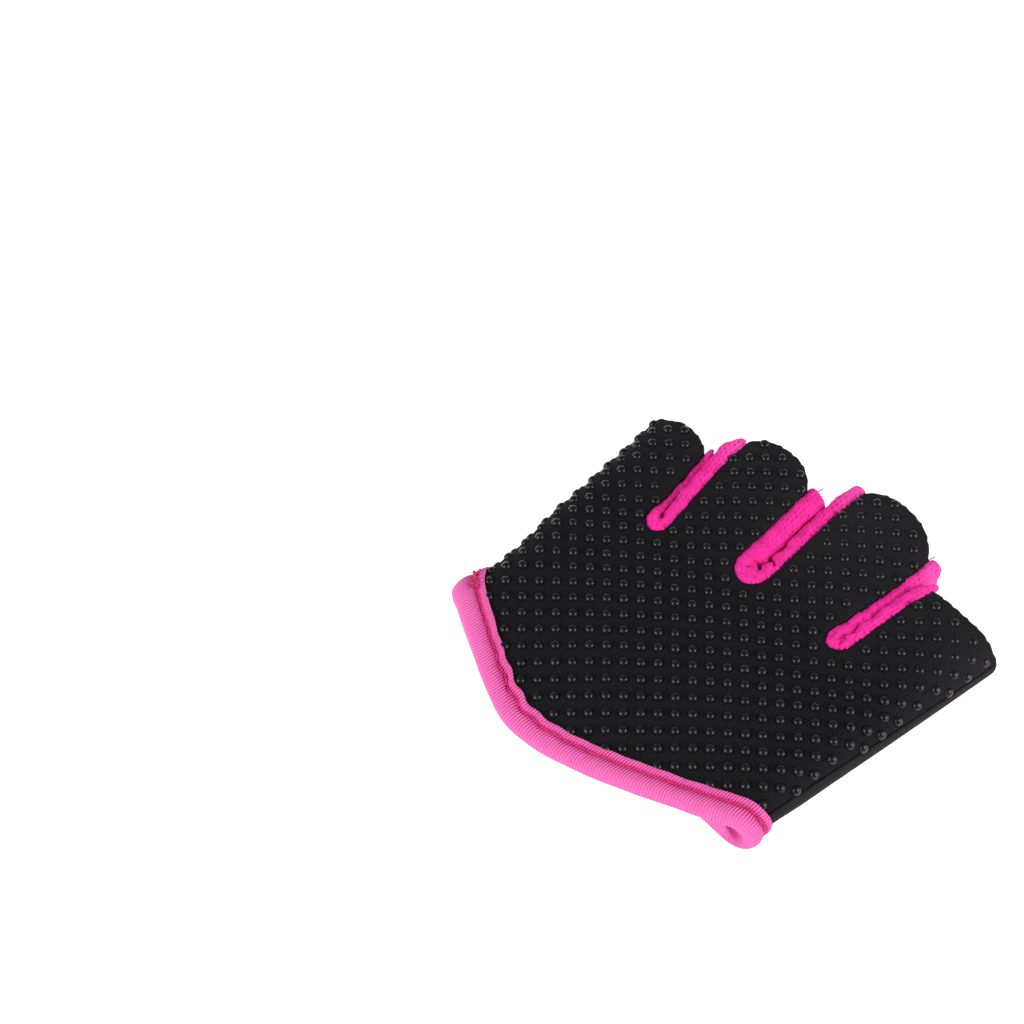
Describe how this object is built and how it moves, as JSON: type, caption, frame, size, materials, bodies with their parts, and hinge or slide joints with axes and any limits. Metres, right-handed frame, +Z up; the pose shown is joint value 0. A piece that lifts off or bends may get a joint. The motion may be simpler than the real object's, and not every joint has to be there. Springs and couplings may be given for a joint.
{
  "type": "fingerless workout glove",
  "caption": "Right hand's fingerless workout glove, lying palm up: thick dotted grip palm, plain stretch back, mesh gussets between the fingers and a rolled binding round the wrist opening.",
  "frame": {"origin": "on the floor below the middle of the glove's bounding box", "axes": "+Z up out of the palm, +Y from the wrist to the finger ends, +X from the little finger's side to the index finger's side"},
  "size_m": [0.1022, 0.1058, 0.0166],
  "materials": {
    "palm_cloth": "matt neoprene with a fine twill face",
    "back_cloth": "matt stretch knit",
    "gusset_mesh": "matt mesh knit with small holes",
    "binding": "fine ribbed stretch tape with a slight sheen",
    "grip_rubber": "smooth printed rubber with a soft gloss",
    "thread": "twisted sewing thread"
  },
  "bodies": {
    "root": {"palm_panel": "palm_cloth", "back_panel": "back_cloth", "gusset_little_ring": "gusset_mesh", "gusset_ring_middle": "gusset_mesh", "gusset_middle_index": "gusset_mesh", "cuff_binding": "binding"}
  },
  "joints": []
}
